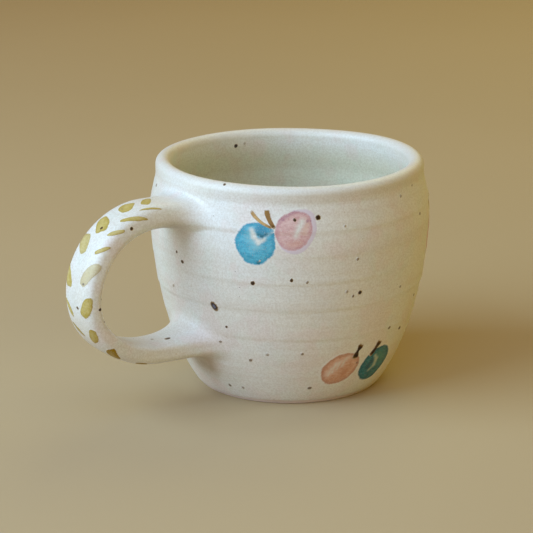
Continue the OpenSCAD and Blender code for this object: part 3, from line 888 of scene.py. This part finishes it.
def strap_section(q, section, out=0.0):
    """The strap's section at q: across and depth. It is squarer on its outer face, and pulled unevenly."""
    low_arm = smooth(q, 0.60, 0.80)
    far = 3.4 + 1.0 * smooth(q, 0.20, 0.35) * (1 - low_arm)
    ridged = np.where(np.cos(section) < 0, 3.5 - 0.6 * low_arm, far)
    square = np.where(np.sin(section) > 0, ridged, 2.5 + 3.0 * low_arm)
    half_w = STRAP_HALF_W + out + 0.16 * MM * math.sin(7 * q + 1.2) + 0.09 * MM * math.sin(17 * q)
    across, depth = oval(section, half_w, strap_half_t(q) + out, square)
    slow = 0.07 * MM * math.sin(9 * q + 0.6) + 0.05 * MM * math.sin(21 * q + 2.0)
    pulls = 0.04 * MM * np.cos(across / (1.25 * MM) + 3 * q) + 0.04 * MM * np.cos(across / (2.7 * MM) + 1)
    depth = depth + (slow + pulls * np.sign(depth)) * smooth(np.abs(depth), 0, 1.5 * MM)
    # the side that the thumb pressed leans in towards the outer face
    lean = np.where(across < 0, 0.10 * (1 - low_arm), 0)
    across = across * (1 - lean * depth / strap_half_t(q))
    return across, depth + 0.22 * MM * math.exp(-((q - 0.38) / 0.22)**2)


def strap_ring(q, section, out=0.0):
    mid, side = strap_point(q), strap_out(q)
    across, depth = strap_section(q, section, out)
    return np.stack([-(mid[0] + side[0] * depth), across, mid[1] + side[1] * depth], 1)


def on_wall(angle, z, out=0.0):
    """The wall's point at an angle counted from the handle's side, towards +Y."""
    turned = math.pi - angle
    return wall_point(np.where(turned > math.pi, turned - 2 * math.pi, turned), z, out)


def off_wall(points):
    """The other way round: angle from the handle's side, z and distance from the wall, as columns."""
    angle = np.arctan2(points[:, 1], -points[:, 0])
    away = np.hypot(points[:, 0], points[:, 1])
    z, out = points[:, 2].copy(), away - wall_radius(points[:, 2])
    for _ in range(12):
        guess = on_wall(angle, z, out)
        z += points[:, 2] - guess[:, 2]
        out += away - np.hypot(guess[:, 0], guess[:, 1])
    return np.stack([angle, z, out], 1)


def root_rings(k, section, inset, count=34):
    """Rings from the root's smear on the wall out to the plain strap: each line is a fillet."""
    root = ROOTS[k]
    across, rise = oval(section, root["across"] - 4 * inset, 1.0, 2.0)
    rise = rise * np.where(rise > 0, root["outer"], root["inner"])
    z = root["mid_z"] + (rise if k == 0 else -rise)
    edge = np.stack([np.arcsin(across / wall_radius(z)), z, np.full(len(z), ROOT_DEPTH - inset)], 1)
    inward = np.linspace(root["start"], 0.003 if k == 0 else 0.997, 40)
    lines = np.array([off_wall(strap_ring(q, section, -inset)) for q in inward])
    start = lines[0]
    step = lines[1] - start
    # where each line of the strap meets the wall, or would if it ran straight on from its last point
    foot = np.empty_like(start)
    for i in range(len(section)):
        line = lines[:, i]
        met = np.argmax(line[:, 2] <= 0) or len(line) - 1
        share = line[met - 1, 2] / max(line[met - 1, 2] - line[met, 2], 1e-9)
        foot[i] = line[met - 1] + (line[met] - line[met - 1]) * share
    foot[:, 2] = ROOT_DEPTH - inset
    outer_share = (1 + np.sin(section)) / 2
    tight = (root["tight"][1] + (root["tight"][0] - root["tight"][1]) * outer_share)[:, None]
    reach = (foot[:, 2] - start[:, 2])[:, None] / np.minimum(step[:, 2], -1e-9)[:, None]
    near = edge + (foot - edge) * tight
    leave = start + step * reach * tight
    rings = []
    for t in np.linspace(0, 1, count):
        back = 1 - t
        flat = (back**4 * edge + 4 * back**3 * t * near + 6 * back**2 * t**2 * foot
                + 4 * back * t**3 * leave + t**4 * start)
        rings.append(on_wall(*flat.T))
    return rings


def handle_mesh(inset, columns, rows):
    section = np.linspace(0, 2 * math.pi, columns, endpoint=False)
    plain = np.linspace(ROOTS[0]["start"], ROOTS[1]["start"], rows)[1:-1]
    rings = root_rings(0, section, inset) + [strap_ring(q, section, -inset) for q in plain]
    rings += root_rings(1, section, inset)[::-1]
    sunk = [on_wall(np.zeros(1), root["mid_z"], -1.5 * MM - inset)[0] for root in ROOTS]
    return capped(rings, *sunk)


COAT_COLUMNS, COAT_ROWS = 128, 130
CLAY_COLUMNS, CLAY_ROWS = 48, 60
COAT_MESH = handle_mesh(0, COAT_COLUMNS, COAT_ROWS)
COAT_TREE = BVHTree.FromPolygons(*[list(map(tuple, part)) for part in COAT_MESH])
# Share of the strap's section and place above the glazed wall, in mm, of each ring of a slip pad
PAD_RINGS = (0.5, -0.15), (0.9, -0.2), (1.0, -0.4), (0.9, -0.6), (0.5, -0.65)


def make_slip_pad(k, material):
    """The slip that was squeezed between a root and the wall: a thin, uneven pad inside the joint."""
    root = ROOTS[k]
    section = np.linspace(0, 2 * math.pi, CLAY_COLUMNS, endpoint=False)
    across, rise = strap_section(0.02 if k == 0 else 0.98, section, -1.2 * MM)
    rise = rise if k == 0 else -rise
    ragged = 1 + ripple(section, (0.05, 5, k), (0.03, 11, 0))
    rings = []
    for share, out in PAD_RINGS:
        angle = np.arcsin(across * share * ragged / wall_radius(root["mid_z"]))
        rings.append(on_wall(angle, root["mid_z"] + rise * share * ragged, out * MM))
    tips = [on_wall(np.zeros(1), root["mid_z"], out * MM)[0] for _, out in (PAD_RINGS[0], PAD_RINGS[-1])]
    name = ("upper_slip", "lower_slip")[k]
    make_piece(name + "_pad", capped(rings, *tips), material, "slip", name + "_joint")


# ---------------------------------------------------------------- painted marks' meshes

UNDER = -0.12 * MM     # how deep a mark's hidden underside lies


def lens(place_of, radius_out, thickness, rings, columns, full_to=0.80, third=None, sink=0.05 * MM):
    """A thin closed lens laid on a surface. place_of(u, v, out) gives points; u, v are 1 at its edge.

    third is the marks' third number, for each u and v; sink is how deep the lens's edge lies.
    """
    a = np.linspace(0, 2 * math.pi, columns, endpoint=False)
    layers = [(share, thickness * (1 - smooth(share, full_to, radius_out))
               - sink * smooth(share, (full_to + radius_out) / 2, radius_out))
              for share in np.linspace(0, 1, rings + 1)[1:] * radius_out]
    layers += [(0.7 * radius_out, UNDER), (0.35 * radius_out, UNDER)]
    circles = [(share * np.cos(a), share * np.sin(a), out) for share, out in layers]
    zero = np.zeros(1)
    tips = [place_of(zero, zero, thickness)[0], place_of(zero, zero, UNDER)[0]]
    points, faces = capped([place_of(u, v, out) for u, v, out in circles], *tips)
    u = np.concatenate([c[0] for c in circles] + [np.zeros(2)])
    v = np.concatenate([c[1] for c in circles] + [np.zeros(2)])
    return points, faces, np.stack([u, v, np.zeros_like(u) if third is None else third(u, v)], 1)


def merged(parts):
    """Several lenses as one mesh."""
    points, faces, marks, start = [], [], [], 0
    for p, f, m in parts:
        points.append(p)
        faces += [tuple(i + start for i in face) for face in f]
        marks.append(m)
        start += len(p)
    return np.concatenate(points), faces, np.concatenate(marks)


def node_place(node):
    """The middle of a painted CAD mark: its angle in radians and its height."""
    co = np.array([v.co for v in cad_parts[node].data.vertices])
    rough = math.atan2(co[:, 1].mean(), co[:, 0].mean())
    turn = np.arctan2(co[:, 1], co[:, 0]) - rough
    turn = (turn + math.pi) % (2 * math.pi) - math.pi
    return rough + (turn.min() + turn.max()) / 2, (co[:, 2].min() + co[:, 2].max()) / 2


# How each colour's fruit is drawn: width and height in mm, how much longer it is one way and the
# direction of that in degrees, its bulges and flats as (direction, height, spread in degrees), how far its
# patch reaches, and how far it slid, in mm
FRUIT_SHAPES = {
    "blue": dict(size=(13.0, 13.6), long=0.010, way=80, reach=1.24, slid=(0, 0.05),
                 bulges=[(40, 0.06, 16), (100, -0.04, 25), (175, 0.04, 20), (240, 0.06, 14),
                         (325, -0.05, 22)]),
    "pink": dict(size=(12.0, 12.2), long=0.045, way=54, reach=1.40, slid=(-0.1, 0.1),
                 bulges=[(52, 0.10, 20), (135, 0.05, 20), (322, -0.06, 26), (20, -0.03, 16)]),
    "salmon": dict(size=(13.2, 11.7), long=0.050, way=6, reach=1.24, slid=(0.15, 0.05),
                   bulges=[(212, 0.04, 22), (118, -0.03, 25), (265, -0.04, 20)]),
    "teal": dict(size=(13.6, 12.2), long=0.030, way=10, reach=1.22, slid=(0.85, -0.45),
                 bulges=[(130, -0.06, 30), (275, 0.04, 30)]),
}
# Node, colour, tilt in degrees and slip in mm of each fruit
FRUITS = [
    ("upper_blue_fruit", "blue", 0), ("upper_pink_fruit", "pink", 0),
    ("lower_salmon_fruit", "salmon", 20), ("lower_teal_fruit", "teal", 20),
    ("right_pink_fruit", "pink", 0, (0.5, -1.2)), ("right_blue_fruit", "blue", 0),
    ("back_salmon_fruit", "salmon", -15), ("back_teal_fruit", "teal", -15),
    ("rear_blue_fruit", "blue", 0), ("rear_pink_fruit", "pink", 0),
]


def make_fruit(material, node, colour, tilt, slip=(0, 0)):
    shape = FRUIT_SHAPES[colour]
    angle, z = node_place(node)
    turn = math.radians(tilt)
    radius = wall_radius(z)

    def place_of(u, v, out):
        a = np.arctan2(v, u)
        wave = 1 + shape["long"] * np.cos(2 * (a - math.radians(shape["way"])))
        wave = wave + 0.010 * np.sin(3 * a + 3 * angle) + 0.010 * np.sin(5 * a + 6 * angle)
        for way, height, spread in shape["bulges"]:
            off = (np.degrees(a) - way + 180) % 360 - 180
            wave = wave + height * np.exp(-(off / spread)**2)
        # bare glaze above the fruit is drawn together, to keep the patch out of the groove under the lip
        v = np.where(v > 1.12, 1.12 + 0.2 * (v - 1.12), v)
        x = (u * wave * shape["size"][0] / 2 + shape["slid"][0] + slip[0]) * MM
        y = (v * wave * shape["size"][1] / 2 + shape["slid"][1] + slip[1]) * MM
        across = x * math.cos(turn) - y * math.sin(turn)
        up = x * math.sin(turn) + y * math.cos(turn)
        return wall_point(angle + across / radius, z + up, out)

    mesh = lens(place_of, shape["reach"], 0.045 * MM, rings=18, columns=80, full_to=0.90, sink=0.10 * MM)
    make_piece(node.replace("_fruit", "_fruit_paint"), mesh, material, colour + "_paint", node)


# Each stem: its top, the point that bends it, and its foot, as (angle, height) in degrees and mm; its
# width at the top and at the foot in mm; how dark it is, from 0 for ochre to 1; and how much it narrows
STEMS = {
    "upper_stems": [((-144.2, 67.4), (-140.9, 63.8), (-135.3, 62.5), 1.30, 0.80, 0.18, 0.1),
                    ((-137.9, 68.1), (-137.3, 64.9), (-134.3, 62.3), 1.90, 1.15, 0.63, 0.1)],
    "lower_stems": [((-93.0, 21.0), (-95.2, 18.4), (-95.3, 15.9), 2.50, 2.60, 1.00, 0.55),
                    ((-81.3, 20.5), (-83.1, 17.6), (-85.9, 15.6), 2.80, 1.60, 1.00, 0.35)],
    "right_stems": [((-45, 61.6), (-40.5, 58.4), (-37, 56.6), 1.3, 1.0, 0.2, 0.1),
                    ((-38, 62.4), (-37.5, 59.5), (-35, 57.0), 1.6, 1.1, 0.7, 0.2)],
    "back_stems": [((13, 20.8), (10.6, 18.6), (10.4, 16.8), 1.6, 1.6, 0.9, 0.4),
                   ((24, 21.8), (22.4, 19.4), (19.6, 17.8), 1.7, 1.3, 0.9, 0.2)],
    "rear_stems": [((82, 66.0), (85.2, 62.4), (89.6, 60.6), 1.3, 1.0, 0.2, 0.1),
                   ((88, 67.0), (88.6, 63.4), (91.4, 61.2), 1.6, 1.1, 0.7, 0.2)],
}


def blunt(u, v, square):
    """The disc's places moved so that its edge turns from a circle to a squared one."""
    a = np.arctan2(v, u)
    grow = (np.abs(np.cos(a))**square + np.abs(np.sin(a))**square)**(-1 / square)
    return u * grow, v * grow


def make_stem(top, bend, foot, top_w, foot_w, dark, neck):
    top, bend, foot = np.array(top), np.array(bend), np.array(foot)
    radius = wall_radius(top[1] * MM)

    def place_of(u, v, out):
        u, v = blunt(u, v, 5)
        t = np.clip((1 - v) / 2, -0.10, 1.10)[:, None]
        mid = (1 - t)**2 * top + 2 * t * (1 - t) * bend + t * t * foot
        d = 2 * (1 - t) * (bend - top) + 2 * t * (foot - bend)
        d = np.stack([np.radians(d[:, 0]) * radius, d[:, 1] * MM], 1)
        side = np.stack([-d[:, 1], d[:, 0]], 1) / np.linalg.norm(d, axis=1)[:, None]
        half_w = MM * (top_w + (foot_w - top_w) * np.clip(t[:, 0], 0, 1)) / 2
        half_w = half_w * (1 - neck * np.exp(-((t[:, 0] - 0.45) / 0.22)**2))
        angle = np.radians(mid[:, 0]) + side[:, 0] * u * half_w / radius
        return wall_point(angle, mid[:, 1] * MM + side[:, 1] * u * half_w, out)

    def load(u, v):
        return dark + 0.25 * smooth(np.abs(v), 0.45, 0.95) + 0.25 * smooth(-v, 0.2, 0.8) - 0.10

    return lens(place_of, 1.18, 0.14 * MM, rings=9, columns=48, third=load)


# Each dab on the strap runs from [q, way round in mm from the outer face's middle line] to [q, way], with
# a width in mm and a load of paint, from -1 for a wash to 1
DABS = [
    ((0.071, 2.3), (0.104, -3.0), 2.6, -0.1), ((0.121, 3.2), (0.158, -1.9), 4.0, 0.1),
    ((0.194, 3.7), (0.245, -1.1), 5.0, 0.1), ((0.257, 5.2), (0.326, 1.4), 4.3, -0.3),
    ((0.080, -6.8), (0.128, -4.6), 0.9, 0.2), ((0.126, -8.8), (0.190, -3.9), 1.5, 0.1),
    ((0.200, -7.8), (0.246, -4.4), 1.4, -0.2), ((0.273, -7.5), (0.310, -3.8), 1.4, 0.0),
    ((0.330, -7.3), (0.437, -2.1), 3.6, -0.65), ((0.376, 6.4), (0.458, 3.7), 3.5, -0.1),
    ((0.512, 6.0), (0.578, 2.5), 1.7, 0.1), ((0.481, -6.9), (0.564, -3.2), 4.2, 0.1),
    ((0.611, -5.2), (0.680, -3.3), 3.5, 0.40), ((0.605, 5.2), (0.664, 0.8), 1.6, 0.5),
    ((0.710, -6.8), (0.777, -3.9), 3.4, 1.0), ((0.800, 2.0), (0.840, 1.0), 1.8, 0.5),
    ((0.826, -6.0), (0.866, -5.6), 1.8, 1.0),
]
STRAP_LENGTH = 102 * MM


def strap_spot(q, around, out):
    """A point on the strap: around is the way from the outer face's middle line, along its section.

    Beyond the plain strap it lies where the line through that point meets the flared root's coat.
    """
    section = math.pi / 2 - np.sign(around or 1) * np.linspace(0, math.pi, 160)
    across, depth = strap_section(q, section, out)
    way = np.concatenate([[0], np.cumsum(np.hypot(np.diff(across), np.diff(depth)))])
    across, depth = np.interp(abs(around), way, across), np.interp(abs(around), way, depth)
    mid, side = strap_point(q), strap_out(q)
    spot = Vector((-(mid[0] + side[0] * depth), across, mid[1] + side[1] * depth))
    if ROOTS[0]["start"] < q < ROOTS[1]["start"]:
        return spot
    middle = Vector((-mid[0], 0, mid[1]))
    met, normal = COAT_TREE.ray_cast(middle, spot - middle)[:2]
    return met + normal * math.copysign(out, normal.dot(spot - middle) * (out or 1))


def strap_points(q, around, out):
    return np.array([strap_spot(float(a), float(b), out) for a, b in zip(q, around)])


def make_dab(start, end, width, load):
    start, end = np.array(start) * [1, MM], np.array(end) * [1, MM]
    mid = (start + end) / 2
    long = (end - start) / 2 * [STRAP_LENGTH, 1]
    wide = np.array([-long[1], long[0]]) / np.linalg.norm(long) * width * MM / 2
    lean = 4 * start[0] + 9 * start[1] / MM

    def place_of(u, v, out):
        u, v = blunt(u, v, 2.5)
        a = np.arctan2(v, u)
        wave = 1 + 0.08 * np.sin(2 * a + lean) + 0.07 * np.sin(3 * a + 2 * lean)
        wave = wave + 0.03 * np.cos(5 * a + lean)
        along = (u * wave)[:, None] * long + (v * wave)[:, None] * wide
        return strap_points(mid[0] + along[:, 0] / STRAP_LENGTH, mid[1] + along[:, 1], out)

    return lens(place_of, 1.2, 0.08 * MM, rings=9, columns=40, third=lambda u, v: np.full_like(u, load))


# ---------------------------------------------------------------- iron specks

# Angle, height, width and strength of the larger specks on the wall, in degrees and mm
WALL_SPECKS = [
    (-161.5, 34.8, 3.3, 1.7), (-117.2, 65.7, 1.9, 1.0), (-126.6, 65.1, 1.3, 0.9), (-143.3, 44.5, 1.7, 1.0),
    (-127.8, 45.9, 1.3, 0.9), (-121.6, 45.1, 1.1, 0.4), (-104.6, 40.8, 1.2, 0.3), (-101.6, 39.0, 1.0, 0.6),
    (-98.5, 39.9, 1.6, 1.0), (-74.8, 38.2, 1.1, 0.4), (-57.4, 31.8, 1.3, 0.45), (-100.6, 51.3, 1.2, 0.4),
    (-106.2, 62.4, 0.9, 0.2), (-75.5, 68.1, 1.2, 0.25), (-61.7, 60.1, 1.3, 0.45), (179.9, 50.2, 1.2, 0.8),
    (-176.8, 47.5, 1.5, 0.9), (174.4, 37.8, 1.3, 0.25), (-156.7, 28.2, 1.1, 0.8), (-160.7, 22.5, 1.1, 0.45),
    (-147.0, 17.0, 1.3, 0.5), (-162.9, 5.5, 1.3, 0.6), (-117.5, 6.5, 1.5, 0.6), (-76.8, 24.2, 1.5, 0.7),
    (-66.0, 22.0, 1.6, 0.9), (-140.2, 52.0, 0.8, 0.2), (155.3, 67.3, 1.3, 0.6), (-138.6, 19.6, 1.3, 0.25),
    (-122.6, 19.9, 1.2, 0.45), (-154.5, 5.6, 1.2, 0.3), (-65.5, 69.9, 0.9, 0.3),
]
# Along the strap, way round its section in mm, width in mm and strength of the specks on the handle
HANDLE_SPECKS = [
    (0.181, -8.5, 1.3, 1.0), (0.231, 0.1, 1.5, 0.9), (0.424, -3.5, 1.3, 0.5), (0.533, -0.8, 1.5, 0.8),
    (0.536, -9.7, 1.6, 1.0), (0.487, -10.9, 1.2, 0.7), (0.601, -10.4, 1.0, 0.5), (0.934, -17.0, 1.6, 0.8),
    (0.905, 18.6, 1.0, 0.3), (0.300, 8.6, 1.2, 0.8), (0.660, 9.4, 1.0, 0.7), (0.410, 12.0, 1.1, 0.9),
    (0.150, 1.1, 0.8, 0.5),
]
# Angle, way down from the lip's inner side, width and strength of the specks inside the cup
INSIDE_SPECKS = [(79.5, 2.4, 1.7, 1.0), (74.8, 1.8, 1.1, 0.2),
                 (140.0, 9.0, 1.2, 0.5), (-60.0, 14.0, 1.4, 0.8), (-150.0, 20.0, 1.2, 0.6)]
# Angle, degrees up from the lip's outer side, width and strength of the speck on the lip
LIP_SPECK = (-156.8, 56, 1.1, 0.8)
HIDDEN_SPECKS = 46      # how many are strewn over the side that the photo doesn't show
ROOT_FLARE = 3 * MM     # a speck nearer than this under a root's coat is laid on the coat instead
# The big speck is the one stronger than this, and it is this much longer than wide and turned so
BIG_SPECK, BIG_SHAPE = 1.5, (1.45, math.radians(118))


def make_speck(place, first, second, size, strength, long=1.0, turn=0.0):
    """A speck's lens at place(first, second, across, up, out), longer than wide and turned by an angle."""
    def place_of(u, v, out):
        x, y = u * size * MM / 2 * math.sqrt(long), v * size * MM / 2 / math.sqrt(long)
        across = x * math.cos(turn) - y * math.sin(turn)
        up = x * math.sin(turn) + y * math.cos(turn)
        return place(first, second, across, up, out)

    return lens(place_of, 1.12, 0.13 * MM, rings=4, columns=16, full_to=0.5,
                third=lambda u, v: np.full_like(u, strength))


def wall_speck(angle, z, across, up, out):
    """Points on the wall's glaze, or on the handle's where its root flares over the wall."""
    angle, z = math.radians(angle) + across / wall_radius(z * MM), z * MM + up
    points = wall_point(angle, z, out)
    for i, spot in enumerate(wall_point(angle, z)):
        away = Vector((spot[0], spot[1], 0)).normalized()
        met = COAT_TREE.ray_cast(Vector(spot) + away * ROOT_FLARE, -away, ROOT_FLARE)[0]
        if met is not None:
            points[i] = met + away * out
    return points


def strap_speck(q, around, across, up, out):
    return strap_points(q + across / STRAP_LENGTH, around * MM + up, out)


def inside_speck(angle, down, across, up, out):
    """Points inside the cup: down is the way from the lip, along the profile."""
    angle, down = math.radians(angle) + across / (BELLY_R - WALL), down * MM - up
    picks, at = spaced(INSIDE_LINE, 0.1 * MM)
    r, z = (np.interp(down, at, INSIDE_LINE[picks, k]) for k in (0, 1))
    side = [np.interp(down, at, INSIDE_SIDE[picks, k]) for k in (0, 1)]
    return skin(angle, r, z, side, np.array([inside_relief(a, s) for a, s in zip(angle, down)]) + out)


def lip_speck(angle, turn, across, up, out):
    """Points on the lip, turned up from its outer side by degrees."""
    angle, turn = math.radians(angle) + across / NECK_R, math.radians(turn) + up / LIP_R
    side = np.cos(turn), np.sin(turn)
    r, z = LIP_MID[0] + LIP_R * side[0], LIP_MID[1] + LIP_R * side[1]
    return skin(angle, r, z, side, relief(angle, z) + out)


def make_specks(material):
    draw = np.random.default_rng(21)
    spots = list(WALL_SPECKS)
    for _ in range(HIDDEN_SPECKS):
        size = min(0.8 + draw.exponential(0.35), 2.4)
        spots.append((draw.uniform(-34, 136), draw.uniform(5, 69), size, draw.uniform(0.2, 1.0)))
    parts = []
    for spot in spots:
        shape = draw.uniform(1.0, 1.3), draw.uniform(0, math.pi)
        parts.append(make_speck(wall_speck, *spot, *(BIG_SHAPE if spot[3] > BIG_SPECK else shape)))
    parts += [make_speck(strap_speck, *speck) for speck in HANDLE_SPECKS]
    parts += [make_speck(inside_speck, *speck) for speck in INSIDE_SPECKS]
    parts.append(make_speck(lip_speck, *LIP_SPECK))
    make_piece("iron_specks", merged(parts), material, "satin_glaze")


# ---------------------------------------------------------------- floor

FLOOR_HALF = 3.0


def make_floor(material):
    corners = [(x * FLOOR_HALF, y * FLOOR_HALF, 0) for x, y in ((-1, -1), (1, -1), (1, 1), (-1, 1))]
    mesh_object("floor", (corners, [(0, 1, 2, 3)]), material)


# ---------------------------------------------------------------- the whole

GLAZE = glaze_group()
satin = glaze_material()
clay = clay_material()
make_camera()
make_lights()
make_floor(floor_material())
make_outer_coat(satin)
make_liner_coat(liner_material())
make_thrown_body(clay)
make_piece("handle_glaze_coat", COAT_MESH, satin, "satin_glaze", "handle_glaze")
make_piece("pulled_clay_handle", handle_mesh(GLAZE_T, CLAY_COLUMNS, CLAY_ROWS), clay,
           "clay", "pulled_handle")
for end in (0, 1):
    make_slip_pad(end, clay)
paints = {colour: paint_material(colour + "_paint", **looks) for colour, looks in PAINTS.items()}
for fruit in FRUITS:
    make_fruit(paints[fruit[1]], *fruit)
browns = line_material()
for node, stems in STEMS.items():
    lines = merged([make_stem(*stem) for stem in stems])
    make_piece(node.replace("_stems", "_stem_lines"), lines, browns, "brown_paint", node)
dabs = merged([make_dab(*dab) for dab in DABS])
make_piece("gold_dab_marks", dabs, paints["gold"], "gold_paint", "gold_dabs")
make_specks(speck_material())
